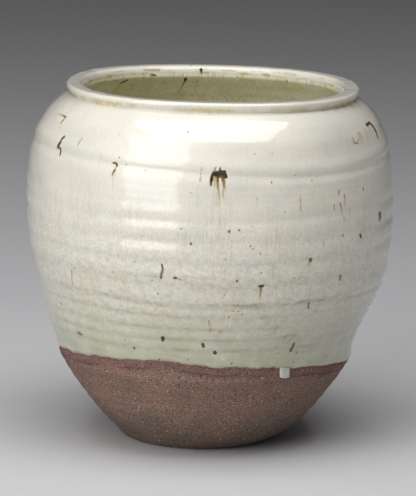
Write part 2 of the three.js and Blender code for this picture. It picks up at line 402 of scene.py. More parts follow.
def shares(count):
    """Even shares from 0 to 1, with one more just before the end, which keeps the shading there crisp."""
    return np.sort(np.append(np.linspace(0, 1, count - 1), 1 - END_STEP))


def coat_path(lift):
    """The outside from the foot over the shoulder and the lip to where the coat ends, raised by a lift."""
    outside = (OUTSIDE + OUTSIDE_NORMAL * lift)[OUTSIDE[:, 1] < NECK[1] - CREASE_BELOW_NECK]
    lip = lip_arc(lift, LIP_START, COAT_END, LIP_POINTS)
    corner = (NECK[0] + lift * CREASE_OUT, NECK[1] + lift * CREASE_UP)
    return joined(outside, bezier([outside[-1], corner, lip[0]], CREASE_POINTS), lip)


# Iron marks in the white glaze, as strokes: azimuth and height of one end and of the other, then the radius
# at both ends and the depth of colour at both, in hundredths
IRON = [
    # The large spot in front and its runs
    (1.7, 205.4, 2.3, 205.5, 170, 160, 100, 100),
    (3.7, 206, 4.2, 205.9, 160, 160, 100, 100),
    (3.1, 206.4, 3.1, 209.4, 80, 40, 95, 60),
    (1.1, 206, 1.8, 209.6, 50, 35, 68, 50),
    (4.6, 207, 5.1, 203.2, 70, 90, 90, 80),
    (2.4, 203.4, 3.4, 203.8, 80, 80, 62, 62),
    (1, 205.6, 0.6, 202, 70, 90, 75, 90),
    (0.6, 202, 0.5, 197.8, 90, 60, 90, 60),
    (1.5, 203.4, 1.7, 197, 90, 60, 40, 20),
    (2.5, 203, 2.6, 196.4, 80, 70, 62, 42),
    (2.6, 196.4, 3, 191.5, 70, 60, 40, 30),
    (3, 191.5, 3, 185, 60, 50, 30, 18),
    (2.2, 192.5, 2.2, 184, 50, 40, 18, 12),
    (4, 203.6, 4.4, 199.5, 130, 110, 60, 45),
    (4.4, 199.5, 4.5, 196.8, 100, 70, 50, 42),
    (4.5, 196.8, 4.1, 192, 70, 60, 38, 28),
    (4.1, 192, 4.2, 188.5, 60, 50, 28, 16),
    # Upper left
    (-67.9, 230.5, -62.4, 230.8, 50, 60, 20, 40),
    (-62.4, 230.8, -59.8, 230.2, 60, 80, 45, 52),
    (-60.4, 228.6, -61, 226.4, 80, 70, 50, 40),
    (-60, 224.8, -59.6, 222.4, 50, 50, 25, 18),
    (-55.5, 218.8, -56.3, 217.2, 100, 90, 62, 66),
    (-56.3, 217.6, -56.4, 214.8, 80, 90, 66, 66),
    (-56.4, 214.8, -57.5, 211.6, 110, 120, 68, 70),
    (-57.3, 211.6, -55.8, 211, 80, 70, 68, 66),
    (-55.8, 211, -55.2, 206.6, 100, 70, 70, 50),
    (-58, 211, -58.2, 208, 50, 40, 25, 15),
    (-46.2, 220.8, -47, 217, 50, 70, 28, 40),
    (-47, 217, -46.9, 209, 60, 50, 30, 12),
    (-36.5, 213, -36.5, 200, 60, 50, 16, 10),
    (-31.4, 208, -30.5, 208, 60, 70, 65, 75),
    (-30.5, 208, -30, 206.6, 70, 70, 80, 75),
    (-30.1, 206, -30.4, 203.6, 40, 40, 45, 40),
    (-30.4, 203.4, -31.1, 200.4, 60, 50, 72, 55),
    (-30, 203, -30.2, 200, 50, 50, 20, 12),
    (-30.6, 200, -30.6, 185, 60, 40, 18, 6),
    (-2.5, 208.8, -2.8, 200.6, 60, 70, 20, 32),
    # Upper right
    (11.5, 222, 11.6, 200, 60, 60, 13, 10),
    (14.5, 190, 14.6, 160, 50, 50, 20, 10),
    (28.5, 190, 28.5, 180, 50, 50, 25, 35),
    (36.8, 157, 37, 153, 50, 40, 35, 20),
    (39.4, 221, 39.6, 216, 160, 120, 8, 5),
    (46.5, 225, 46.7, 217.5, 140, 100, 10, 6),
    (49.6, 222, 49.8, 212, 100, 90, 9, 5),
    (62.5, 226, 62.9, 216, 160, 110, 14, 7),
    (43.3, 190.5, 43.3, 188, 50, 50, 50, 45),
    (45.6, 187.6, 45.6, 180, 60, 50, 42, 30),
    (53.2, 223.4, 53.8, 219.8, 50, 60, 30, 45),
    (53.8, 219.8, 55.8, 219.2, 60, 60, 45, 40),
    (55.8, 219.2, 56.4, 221.4, 50, 50, 40, 30),
    (58, 224, 58.2, 219, 260, 180, 20, 14),
    # Runs from under the lip on the right
    (45.6, 241.8, 46.1, 240.4, 70, 50, 22, 12),
    (52.4, 241.9, 52.7, 239.2, 60, 40, 26, 14),
    (54.2, 242, 54.3, 241, 80, 70, 36, 20),
    (60, 241.8, 60.2, 238.4, 80, 50, 28, 14),
    (61.8, 242, 61.9, 241.2, 90, 80, 45, 30),
    (66.6, 241.8, 67, 239.8, 90, 70, 45, 25),
    (68, 241.6, 68.2, 236.9, 60, 40, 30, 16),
    (75.8, 241.8, 76, 239.6, 90, 60, 40, 20),
    (66, 228.4, 67.2, 228.8, 120, 110, 68, 74),
    (67.2, 228.8, 69.8, 229, 80, 100, 62, 85),
    (69.8, 229, 71.4, 225.4, 120, 130, 95, 95),
    (71.4, 225.4, 71.9, 222.4, 130, 120, 95, 90),
    (71.9, 222.4, 71.7, 217.6, 110, 70, 85, 40),
    (67, 227.6, 64.3, 220.1, 60, 40, 30, 12),
    (81.7, 229.7, 81.5, 228, 60, 50, 60, 50),
    (55.3, 189.4, 55.3, 188.4, 50, 50, 60, 60),
    (43.5, 182, 45.5, 170, 70, 50, 40, 22),
    (41, 181.5, 41.1, 178, 60, 50, 40, 30),
    (48, 178, 48.2, 172, 50, 40, 32, 20),
    # Belly
    (65, 168.6, 65.4, 165.6, 220, 190, 80, 75),
    (53, 158.2, 53.2, 156.8, 110, 100, 60, 55),
    (45, 160.3, 45, 159.6, 58, 58, 50, 50),
    (32.1, 146.4, 32.2, 145.4, 140, 120, 60, 55),
    (32, 145, 31.4, 140, 70, 40, 40, 20),
    (-14.5, 143.4, -14.3, 140.8, 55, 60, 75, 70),
    (-14.3, 139.6, -14.8, 136.4, 90, 100, 50, 48),
    (-14.8, 136.4, -15, 134.2, 80, 70, 55, 60),
    (-10.7, 134.9, -10.2, 134.9, 90, 80, 62, 60),
    (-16.4, 123.2, -16.4, 122.4, 50, 50, 50, 50),
    (-17.5, 117, -17.6, 110, 40, 40, 35, 25),
    (-31.2, 134.8, -31, 134, 72, 65, 35, 30),
    (-49, 130, -49.6, 120, 40, 35, 60, 45),
    (15.3, 129.9, 16.4, 130, 70, 90, 90, 95),
    (16.2, 130.1, 16.7, 130.3, 70, 50, 90, 80),
    (15.9, 128.6, 15.8, 122.5, 100, 70, 50, 32),
    (15.8, 122.5, 15.8, 118.6, 60, 40, 30, 10),
    (44.8, 132.2, 44.9, 129.4, 90, 80, 60, 50),
    # Low left
    (-52, 84.2, -50.3, 83.7, 130, 110, 55, 50),
    (-25.8, 81.4, -25.7, 80.8, 79, 72, 75, 70),
    (-14.7, 91, -14.8, 88.8, 140, 90, 90, 85),
    (-0.6, 87.6, -0.3, 86, 110, 90, 75, 70),
    # Low right
    (33.4, 116, 33.6, 112, 80, 80, 60, 50),
    (6.4, 108.7, 6.4, 108.2, 43, 43, 65, 60),
    (6.4, 108, 6.5, 100, 40, 40, 30, 20),
    (0.2, 105, 1.3, 97, 50, 50, 42, 34),
    (4, 98.5, 4.6, 96.5, 40, 40, 45, 45),
    (4.6, 96.5, 5.3, 98.5, 40, 40, 45, 40),
    (24, 101, 24, 95, 50, 40, 40, 30),
    (3.9, 81.8, 4.1, 81.2, 130, 120, 80, 80),
    (33.4, 85.5, 33.2, 80.5, 100, 120, 65, 70),
    (28.2, 92.4, 32.8, 92.6, 80, 70, 30, 34),
    (32.8, 92.6, 30.4, 86.4, 70, 60, 34, 28),
    (28.4, 92.2, 28.6, 86.8, 60, 50, 44, 30),
    (47.8, 90.4, 47.8, 89.6, 72, 72, 45, 40),
    (61.8, 106, 61.8, 105, 72, 72, 35, 30),
    (52, 71.2, 53.4, 70.8, 80, 80, 35, 30),
]
# Dots in it: azimuth, height of the top and of the bottom, radius and depth of colour
IRON_DOTS = [
    (-26.8, 208, 207.6, 36, 60),
    (19.3, 199.8, 199.3, 43, 55),
    (27.3, 203.7, 203.3, 36, 50),
    (33, 199.2, 198.8, 36, 50),
    (23, 179.7, 179.3, 36, 50),
    (-5.6, 158.7, 158.2, 72, 60),
    (8.9, 168.7, 168.2, 50, 70),
    (12.3, 157.7, 157.2, 43, 60),
    (15.4, 152.7, 152.2, 43, 60),
    (-17.9, 132.2, 131.6, 36, 50),
    (-34.8, 118.2, 117.6, 43, 45),
    (-29.7, 117.2, 116.6, 43, 40),
    (8.3, 134.2, 133.7, 58, 70),
    (26.7, 134.6, 134.3, 43, 50),
    (28.4, 134.1, 133.8, 36, 50),
    (28.9, 138.1, 137.8, 36, 45),
    (25.8, 133.1, 132.8, 36, 50),
    (-38.2, 95.3, 94.7, 43, 30),
    (-16.2, 74.7, 74.3, 72, 65),
    (-5.7, 76.2, 75.8, 58, 50),
    (-42, 76.2, 75.8, 50, 35),
    (9.3, 112.2, 111.8, 36, 50),
    (40.5, 115.2, 114.8, 43, 50),
    (10.4, 73.7, 73.3, 50, 70),
    (26.7, 84.2, 83.8, 50, 50),
    (35.8, 78.8, 78.2, 65, 50),
    (28, 79.2, 78.8, 50, 50),
]
# Marks on the lip, with an angle round its section from the outside in place of the height
RIM_IRON = [
    (185.7, 158, 185.7, 165, 110, 90, 95, 95),
    (212, 158, 205, 162, 90, 80, 30, 30),
    (146, 152, 141, 158, 120, 100, 16, 20),
    (176, 160, 170, 163, 60, 60, 22, 20),
]
# Marks on the liner, far inside the mouth
LINER_IRON = [
    (185.6, 245, 185.4, 242.8, 70, 40, 90, 60),
    (192.7, 239.8, 192.6, 238.4, 100, 100, 95, 95),
    (192.6, 238.4, 193.6, 228, 70, 50, 55, 30),
    (220.8, 240, 223.8, 237.8, 90, 80, 70, 75),
    (209, 243, 206.9, 242.4, 90, 70, 45, 60),
    (187, 238.5, 187.2, 229, 50, 40, 32, 22),
    (145.3, 242, 145.6, 239, 50, 40, 60, 45),
    (169, 242.4, 169, 241.8, 60, 50, 50, 50),
    (216, 236, 216.3, 232, 60, 40, 40, 25),
]
BACK_MARKS = 44
BACK_AZIMUTHS = (78, 282)
BACK_HEIGHTS = (76, 232)
BACK_LARGEST = 150
RUN_CHANCE = 0.35


def back_iron():
    """Marks for the sides and back, which no view shows, of the same kinds as in front."""
    random = np.random.default_rng(71)
    strokes = []
    for _ in range(BACK_MARKS):
        azimuth = random.uniform(*BACK_AZIMUTHS)
        height = random.uniform(*BACK_HEIGHTS)
        radius = random.uniform(0.5, 1.0) ** 2 * BACK_LARGEST
        depth = random.uniform(45, 90)
        aside = azimuth + random.uniform(-0.5, 0.5)
        low = height - random.uniform(0.4, 2.5)
        strokes.append((azimuth, height, aside, low, radius, radius * 0.8, depth, depth))
        if random.random() < RUN_CHANCE:
            run_end = height - random.uniform(5, 16)
            strokes.append((azimuth, low, aside, run_end, radius * 0.7, 40, depth * 0.6, 12))
    return strokes


# The coat's face lies a hair inside its full thickness, under soft dents, a ripple and a fine peel
FACE_INSET = 0.2
DENTS = 0.12
RIPPLE = 0.03
PEEL = 0.01


def left_rings(azimuth, height):
    """How far the crest and the hollow on the left stand out."""
    start, full_start, full_end, end = LEFT_AZIMUTHS
    share = smoothstep(azimuth, start, full_start) * (1 - smoothstep(azimuth, full_end, end))
    return share * sum(rise * np.exp(-(((height - level) / reach) ** 2)) for level, reach, rise in LEFT_RINGS)


def below_neck(height, start, end):
    """1 on the wall, falling to 0 between two depths under the neck."""
    return 1 - smoothstep(height, NECK[1] - start, NECK[1] - end)


def face_relief(azimuth, height):
    """How far the coat's face lies from its full thickness: rings, dents and ripple, and its inset."""
    dents = waves(azimuth, height, seed=2, count=16, around=(2, 9), up=(50, 140), size=DENTS)
    dents = dents * below_neck(height, 22, 4)
    ripple = waves(azimuth, height, seed=3, count=24, around=(8, 40), up=(18, 50), size=RIPPLE)
    return ring_relief(azimuth, height) + left_rings(azimuth, height) + dents + ripple - FACE_INSET


def coat_spot(azimuth, height):
    """The place on the white coat's face at an azimuth and height, in millimetres."""
    reach = CLEARANCE + COAT_THICKNESS + face_relief(azimuth, height)
    spot = between(height, OUTSIDE[:, 1], OUTSIDE) + between(height, OUTSIDE[:, 1], OUTSIDE_NORMAL) * reach
    return on_jar(spot[0], spot[1], azimuth) / MM


def rim_spot(azimuth, angle):
    """The place on the coat at an azimuth and an angle round the lip's section, in millimetres."""
    radius, height = lip_arc(CLEARANCE + COAT_THICKNESS - FACE_INSET, angle, angle, 1)[0]
    return on_jar(radius, height, azimuth) / MM


def liner_spot(azimuth, height):
    """The place on the liner's face at an azimuth and height, in millimetres."""
    path = inside_path(CLEARANCE + LINER_THICKNESS, LINER_END)
    return on_jar(np.interp(height, path[:, 1], path[:, 0]), height, azimuth) / MM


def dots(marks):
    """Strokes for dots, which are alike at both ends."""
    return [
        (azimuth, top, azimuth, bottom, radius, radius, depth, depth)
        for azimuth, top, bottom, radius, depth in marks
    ]


def strokes_at(spot, marks):
    """Strokes with each end placed by a function of its azimuth and height, and the rest out of hundredths."""
    return [(spot(*mark[:2]), spot(*mark[2:4]), np.array(mark[4:]) / 100) for mark in marks]


def mouth_iron():
    """Marks round the mouth, which cross from one glaze to the other."""
    return strokes_at(rim_spot, RIM_IRON) + strokes_at(liner_spot, LINER_IRON)


IRON_REACH = 4.0


def iron_fields(points, strokes):
    """How far each point lies outside the nearest stroke of iron, up to a reach, and that stroke's depth of
    colour. Each stroke has its two ends, and the radius and depth at both."""
    places = points.astype(np.float32)
    off = np.full(places.shape[:-1], IRON_REACH, np.float32)
    depth = np.zeros_like(off)
    for start, end, (radius, end_radius, deep, end_deep) in strokes:
        along = (end - start).astype(np.float32)
        away = places - start.astype(np.float32)
        share = np.clip(away @ (along / (along @ along)), 0, 1)
        gap = np.linalg.norm(away - share[..., None] * along, axis=-1)
        gap = gap - radius - (end_radius - radius) * share
        closer = gap < off
        off[closer] = gap[closer]
        depth[closer] = (deep + (end_deep - deep) * share)[closer]
    return off, depth


COAT_ROWS = 300
COAT_BACK_ROWS = 70
# The coat's rolled lower edge: its thickness and how soon that fills out, and a bead above it
EDGE_THICKNESS = 0.4
EDGE_REACH = 1.1
BEAD = 0.3
BEAD_RISE = 2.2
BEAD_REACH = 1.6


def coat():
    """The white coat. Its lower edge follows the glaze line, and its face has rings, dents and a bead."""
    azimuth = front_azimuths()

    def rows_at(lift, count):
        path = coat_path(lift)
        length = distances(path)
        wall = path[:, 1] < BELLY[1]
        start = np.interp(glaze_line(azimuth), path[wall, 1], length[wall])
        above = (length[-1] - start) * shares(count)[:, None]
        return above, between(start + above, length, path), between(start + above, length, outward(path))

    above, point, facing = rows_at(CLEARANCE + COAT_THICKNESS, COAT_ROWS)
    peel = PEEL * grain(above.shape, seed=4, around=4, along=3)
    bead = BEAD * np.exp(-(((above - BEAD_RISE) / BEAD_REACH) ** 2))
    taper = (COAT_THICKNESS - EDGE_THICKNESS) * np.exp(-((above / EDGE_REACH) ** 2))
    relief = face_relief(azimuth, point[..., 1]) + peel + bead - taper
    face = point + facing * relief[..., None]
    _, back_point, back_facing = rows_at(CLEARANCE, COAT_BACK_ROWS)
    back = back_point + back_facing * ring_relief(azimuth, back_point[..., 1])[..., None]
    rows = np.concatenate([face, back[::-1]])
    points = on_jar(rows[..., 0], rows[..., 1], azimuth)
    strokes = strokes_at(coat_spot, IRON + dots(IRON_DOTS) + back_iron()) + mouth_iron()
    off, depth = iron_fields(points[:COAT_ROWS] / MM, strokes)
    fields = {
        # Thin glaze and iron, with painted shade in the crease under the lip and along the lower edge
        "thin": thin_and_edge_shade_places(azimuth, above, point),
        "thin_and_shaded_under_lip": thin_and_shaded_under_lip(azimuth, point),
        "ring": ring_tint(azimuth, point[..., 1]),
        "iron_off": off,
        "iron_depth": depth,
    }
    return turned_mesh("glaze_coat", points, attributes=fields)


# The tint where the glaze thins under a crest, the rise towards the crest that gives all of it, and the
# heights over which it ends
RING_TINT = 0.42
RISE_UNDER_CREST = 0.25
RING_TINT_HEIGHTS = (118, 152)
# Single olive lines under a ring: height, azimuth of both ends, and strength
RING_LINES = [
    (116.5, -2, 44, 0.55),
    (135.2, -26, -1, 0.5),
    (112.5, -60, -30, 0.3),
    (93, 20, 60, 0.3),
    (78, -30, 60, 0.3),
]
LINE_REACH = 1.4
LINE_WANDER = 0.5
# Places in the half plane round which the glaze is thin: under the lip's edge, where the yellow is partly
# painted shade in the crease, and where the coat meets the liner. Along its lower edge it is thin over a reach
# too, and there its brown is partly a painted shadow line.
UNDER_LIP = (102.4, 244.3)
UNDER_LIP_REACH = 2.3
LIP_INNER_EDGE = (91.5, 246.4)
LIP_EDGE_REACH = 1.4
LIP_EDGE_TINT = 0.5
THIN_AND_SHADED_EDGE_REACH = 1.3


def near_spot(point, spot, reach):
    """1 at a spot in the half plane, falling to 0 away from it."""
    gap = np.hypot(point[..., 0] - spot[0], point[..., 1] - spot[1])
    return np.exp(-((gap / reach) ** 2))


def thin_and_edge_shade_places(azimuth, above, point):
    """Where the glaze is thin and shows brown, from 0 to 1: along its lower edge and the lip's inner edge.
    Along the lower edge the brown is partly a painted shadow line.
    """
    patches = 0.5 + waves(azimuth, point[..., 1], seed=8, count=14, around=(3, 30), up=(30, 90), size=0.35)
    rim = LIP_EDGE_TINT * np.clip(patches, 0, 1) * near_spot(point, LIP_INNER_EDGE, LIP_EDGE_REACH)
    return np.exp(-((above / THIN_AND_SHADED_EDGE_REACH) ** 2)) + rim


def thin_and_shaded_under_lip(azimuth, point):
    """Where the glaze is thin and yellow under the lip, partly painted shade in the crease there, from 0 to 1,
    and stronger towards the sides.
    """
    patches = 0.7 + waves(azimuth, 0, seed=15, count=16, around=(3, 40), up=(30, 90), size=0.3)
    sides = 0.6 + 0.4 * smoothstep(np.abs(azimuth), 25, 60)
    return near_spot(point, UNDER_LIP, UNDER_LIP_REACH) * np.clip(patches, 0, 1) * sides


def ring_tint(azimuth, height):
    """Where the glaze is thin and olive under the crests of the lower rings, from 0 to 1."""
    rising = ring_relief(azimuth, height + 1) - ring_relief(azimuth, height - 1)
    patches = 0.55 + waves(azimuth, height, seed=14, count=14, around=(3, 24), up=(24, 70), size=0.35)
    tint = RING_TINT * np.clip(rising / RISE_UNDER_CREST, 0, 1) * np.clip(patches, 0, 1)
    tint = tint * (1 - smoothstep(height, *RING_TINT_HEIGHTS))
    dashes = 0.7 + waves(azimuth, height, seed=13, count=14, around=(10, 50), up=(20, 60), size=0.3)
    wander = waves(azimuth, 0, seed=12, count=12, around=(8, 40), up=(30, 90), size=LINE_WANDER)
    for level, start, end, strength in RING_LINES:
        across = smoothstep(azimuth, start - 6, start + 6) * (1 - smoothstep(azimuth, end - 8, end + 8))
        line = np.exp(-(((height + wander - level) / LINE_REACH) ** 2))
        tint = tint + strength * across * np.clip(dashes, 0, 1) * line
    return tint


LINER_COLUMNS = 560
LINER_ROWS = 300
LINER_BACK_STEP = 6
# The liner's relief: the spiral that the fingers left, and dents
SPIRAL_SPACING = 12
SPIRAL_RELIEF = 0.3
LINER_DENTS = 0.15


def liner():
    """The liner glaze on the whole inside, with the faint spiral of the fingers."""
    azimuth = azimuths(LINER_COLUMNS)
    path = inside_path(CLEARANCE + LINER_THICKNESS, LINER_END)
    length = distances(path)
    at = length[-1] * shares(LINER_ROWS)[:, None] + 0 * azimuth
    point = between(at, length, path)
    height = point[..., 1]
    spiral = SPIRAL_RELIEF * np.cos(TURN * (height / SPIRAL_SPACING + azimuth / 360))
    dents = waves(azimuth, height, seed=21, count=16, around=(2, 10), up=(40, 120), size=LINER_DENTS)
    relief = below_neck(height, 16, 4) * (spiral + dents)
    face = point + between(at, length, outward(path)) * relief[..., None]
    back_path = inside_path(CLEARANCE, LINER_END)
    back = back_path[::LINER_BACK_STEP][::-1, None, :] + 0 * azimuth[:, None]
    rows = np.concatenate([face, back])[::-1]
    points = on_jar(rows[..., 0], rows[..., 1], azimuth)
    floor_height = FLOOR_THICKNESS + CLEARANCE
    poles = on_jar(np.zeros(2), np.array([floor_height, floor_height + LINER_THICKNESS]), 0)
    off, depth = iron_fields(points / MM, mouth_iron())
    return turned_mesh("glaze_liner", points, poles=poles, attributes={"iron_off": off, "iron_depth": depth})


CLAY_COLUMNS = 640
CLAY_ROWS = 130
CLAY_LIP_POINTS = 16
BARE_HEIGHT = 76
# Under the glaze only every so many points of the outside and of the inside are kept
HIDDEN_STEP = 12
INSIDE_STEP = 8
# Relief of the bare clay, which comes in above the foot's edge and lies a hair inside the smooth wall
CLAY_INSET = 0.1
CLAY_START = 3
SCRAPE = 0.07
GRIT = 0.08
LUMPS = 0.14
TURNING = 0.14
TURNING_SPACING = 8.5
# The turned groove under the glaze line, and the depths between which the smoother band over it ends
GROOVE_DROP = 5.8
GROOVE_DEPTH = 0.4
GROOVE_REACH = 1.1
BAND_DROPS = (9, 5)
# The underside: its middle, its gap to the foot's edge, and its grain and turning marks, in from that edge
FOOT_ROWS = 40
FOOT_MIDDLE = 4
FOOT_EDGE = 0.6
FOOT_GRAIN = 0.05
FOOT_RINGS = 0.06
FOOT_RING_SPACING = 6


def foot_rows(azimuth):
    """Rows of the underside from its middle to its edge, as pairs of radius and height."""
    radius = np.linspace(FOOT_MIDDLE, FOOT_RADIUS - FOOT_EDGE, FOOT_ROWS)[:, None] + 0 * azimuth
    marks = FOOT_GRAIN * np.abs(grain(radius.shape, seed=34, around=3, along=1))
    rings = FOOT_RINGS * (1 + np.cos(TURN * radius / FOOT_RING_SPACING))
    inner_share = 1 - smoothstep(radius, FOOT_RADIUS - 8, FOOT_RADIUS - 2)
    return np.stack([radius, (marks + rings) * inner_share], axis=-1)


def clay():
    """The clay body: a gritty, scraped outside where it is bare, and a plain surface where glaze hides it."""
    azimuth = azimuths(CLAY_COLUMNS)
    line = glaze_line(azimuth)
    bare_end = np.interp(BARE_HEIGHT, OUTSIDE[:, 1], OUTSIDE_LENGTH)
    at = np.linspace(0, bare_end, CLAY_ROWS)[:, None] + 0 * azimuth
    point = between(at, OUTSIDE_LENGTH, OUTSIDE)
    height = point[..., 1]
    bare_share = 1 - smoothstep(height, line - 1.5, line + 0.5)
    scrape = SCRAPE * grain(at.shape, seed=31, around=60, along=1)
    grit = GRIT * grain(at.shape, seed=32, around=1, along=1)
    lumps = waves(azimuth, height, seed=33, count=20, around=(3, 16), up=(16, 60), size=LUMPS)
    groove = np.exp(-(((height - (line - GROOVE_DROP)) / GROOVE_REACH) ** 2))
    turning = TURNING * np.cos(TURN * (at / TURNING_SPACING + azimuth / 360))
    bare_relief = scrape + grit + lumps + turning - GROOVE_DEPTH * groove - CLAY_INSET
    relief = bare_share * smoothstep(at, 0, CLAY_START) * bare_relief + ring_relief(azimuth, height)
    face = point + between(at, OUTSIDE_LENGTH, OUTSIDE_NORMAL) * relief[..., None]
    hidden = OUTSIDE[:, 1] > BARE_HEIGHT + 1
    wall = OUTSIDE[hidden][::HIDDEN_STEP, None, :] + 0 * azimuth[:, None]
    wall_facing = OUTSIDE_NORMAL[hidden][::HIDDEN_STEP, None, :]
    wall = wall + wall_facing * ring_relief(azimuth, wall[..., 1])[..., None]
    inside = inside_path(0, LIP_END)[::-1][INSIDE_STEP // 2 :: INSIDE_STEP]
    core = np.vstack([NECK, lip_arc(0, LIP_START, LIP_END, CLAY_LIP_POINTS), inside])
    core = core[:, None, :] + 0 * azimuth[:, None]
    foot = foot_rows(azimuth)
    rows = np.concatenate([foot, face, wall, core])
    points = on_jar(rows[..., 0], rows[..., 1], azimuth)
    poles = on_jar(np.zeros(2), np.array([0.0, FLOOR_THICKNESS]), 0)
    under_foot = np.zeros(foot.shape[:2])
    patches = 0.6 + waves(azimuth, 0, seed=35, count=12, around=(2, 24), up=(30, 90), size=0.35)
    band_start, band_end = BAND_DROPS
    fields = {
        "band": np.concatenate([under_foot, smoothstep(height, line - band_start, line - band_end)]),
        # The darkening along the groove is painted shade
        "groove": np.concatenate([under_foot, groove * np.clip(patches, 0, 1)]),
    }
    return turned_mesh("clay_jar", points, poles=poles, attributes=fields)


# The run: its place and size, how far it reaches up under the coat's edge, how much it narrows downward, and
# how much shorter it is at its sides
RUN_AZIMUTH = 32.3
RUN_WIDTH = 8
RUN_LENGTH = 6.6
RUN_THICKNESS = 1.9
RUN_OVERLAP = 1.5
RUN_NARROWING = 0.06
RUN_ROUNDING = 0.08
RUN_STEPS = 40


def run():
    """The squarish run of thick glaze below the line."""
    wall_radius = np.interp(glaze_line(RUN_AZIMUTH), OUTSIDE[:, 1], OUTSIDE[:, 0])
    half_angle = math.degrees(RUN_WIDTH / 2 / wall_radius)
    across, down = np.meshgrid(np.linspace(-1, 1, RUN_STEPS), np.linspace(-1, 1, RUN_STEPS))
    azimuth = RUN_AZIMUTH + across * half_angle * (1 - RUN_NARROWING * smoothstep(down, 0, 1))
    fall = (RUN_LENGTH + RUN_OVERLAP) * (down + 1) / 2 * (1 - RUN_ROUNDING * across**2)
    height = glaze_line(azimuth) - CLEARANCE + RUN_OVERLAP - fall
    swell = (1 - across**4) ** 0.5 * (1 - np.clip(down, 0, 1) ** 4) ** 0.5
    swell = swell * (0.75 + 0.25 * smoothstep(down, -1, 0.6))
    facing = between(height, OUTSIDE[:, 1], OUTSIDE_NORMAL)
    back = between(height, OUTSIDE[:, 1], OUTSIDE) + facing * CLEARANCE
    face = back + facing * (RUN_THICKNESS * swell)[..., None]
    points = np.vstack([on_jar(side[..., 0], side[..., 1], azimuth).reshape(-1, 3) for side in (face, back)])
    number = np.arange(RUN_STEPS**2).reshape(RUN_STEPS, RUN_STEPS)
    corners = [number[:-1, :-1], number[1:, :-1], number[1:, 1:], number[:-1, 1:]]
    front = np.stack(corners, axis=-1).reshape(-1, 4)
    behind = front[:, ::-1] + RUN_STEPS**2
    border = np.concatenate([number[0, ::-1], number[1:, 0], number[-1, 1:], number[-2:0:-1, -1]])
    following = np.roll(border, -1)
    sides = np.column_stack([following, border, border + RUN_STEPS**2, following + RUN_STEPS**2])
    return mesh_piece("glaze_drip", points, np.vstack([front, behind, sides]))


def linear(colour):
    """A linear colour, with its alpha, from red, green and blue as the usual 0 to 255 numbers."""
    parts = [part / 255 for part in colour]
    return (*[part / 12.92 if part <= 0.04045 else ((part + 0.055) / 1.055) ** 2.4 for part in parts], 1)


SEED_STEP = 370


class Look:
    """A material whose colour is laid on in layers, worked out from the place on the jar in millimetres."""

    def __init__(self, name, base):
        self.material = bpy.data.materials.new(name)
        self.material.use_nodes = True
        self.tree = self.material.node_tree
        self.shader = self.tree.nodes["Principled BSDF"]
        self.colour = linear(base)
        metres = self.add("TexCoord", {}).outputs["Object"]
        self.place = self.add("VectorMath", {0: metres, "Scale": 1 / MM}, operation="SCALE").outputs[0]
        self.height = self.add("SeparateXYZ", {0: self.place}).outputs["Z"]

    def feed(self, socket, value):
        """Links a node's output to an input, or sets the input to a number or a colour."""
        if isinstance(value, bpy.types.NodeSocket):
            self.tree.links.new(value, socket)
        else:
            socket.default_value = value

    def add(self, kind, inputs, **settings):
        """A shader node with its settings and its inputs."""
        made = self.tree.nodes.new("ShaderNode" + kind)
        for key, value in settings.items():
            setattr(made, key, value)
        for key, value in inputs.items():
            self.feed(made.inputs[key], value)
        return made

    def maths(self, operation, *values):
        return self.add("Math", dict(enumerate(values)), operation=operation).outputs[0]

    def times(self, first, second):
        return self.maths("MULTIPLY", first, second)

    def eased(self, value, low, high, start=0, end=1):
        """start where a value is low and end where it is high, with an eased step between them."""
        inputs = {"Value": value, "From Min": low, "From Max": high, "To Min": start, "To Max": end}
        return self.add("MapRange", inputs, interpolation_type="SMOOTHSTEP").outputs[0]

    def blend(self, share, first, second):
        return self.add("Mix", {"Factor": share, 6: first, 7: second}, data_type="RGBA").outputs[2]

    def lay(self, colour, share, *span):
        """Lays a colour over what is there by a share from 0 to 1, eased first where a span is given."""
        share = self.eased(share, *span) if span else share
        self.colour = self.blend(share, self.colour, linear(colour))

    def cloud(self, size, detail=2, stretch=(1, 1, 1), seed=0):
        """Noise from 0 to 1 with lumps of a size, which a stretch draws out along each axis."""
        steps = tuple(1 / (size * part) for part in stretch)
        scaled = self.add("VectorMath", {0: self.place, 1: steps}, operation="MULTIPLY").outputs[0]
        inputs = {"Vector": scaled, "Scale": 1, "Detail": detail, "W": seed}
        return self.add("TexNoise", inputs, noise_dimensions="4D").outputs["Fac"]

    def specks(self, spacing, radius, share, seed):
        """Round specks from 0 to 1: one in each spacing, up to a radius, in a share of the places."""
        shift = (seed * SEED_STEP,) * 3
        moved = self.add("VectorMath", {0: self.place, 1: shift}, operation="ADD").outputs[0]
        cells = self.add("TexVoronoi", {"Vector": moved, "Scale": 1 / spacing})
        chance = self.add("SeparateColor", {0: cells.outputs["Color"]})
        reach = self.times(self.eased(chance.outputs["Red"], 1 - share, 1), radius / spacing)
        near = self.maths("DIVIDE", cells.outputs["Distance"], self.maths("ADD", reach, 0.001))
        return self.eased(near, 1.2, 0.5)

    def attribute(self, name):
        return self.add("Attribute", {}, attribute_name=name).outputs["Fac"]

    def bump(self, rise):
        """Tilts the surface by a rise in millimetres."""
        self.feed(self.shader.inputs["Normal"], self.add("Bump", {"Height": rise, "Distance": MM}).outputs[0])

    def done(self, roughness):
        """Gives the surface its colour and roughness, and returns the material."""
        self.feed(self.shader.inputs["Base Color"], self.colour)
        self.feed(self.shader.inputs["Roughness"], roughness)
        return self.material


OCHRE = (186, 160, 104)
BROWN = (104, 74, 40)
OLIVE = (76, 72, 44)
OLIVE_HEIGHTS = (200, 160)
BLACK_BROWN = (32, 34, 28)


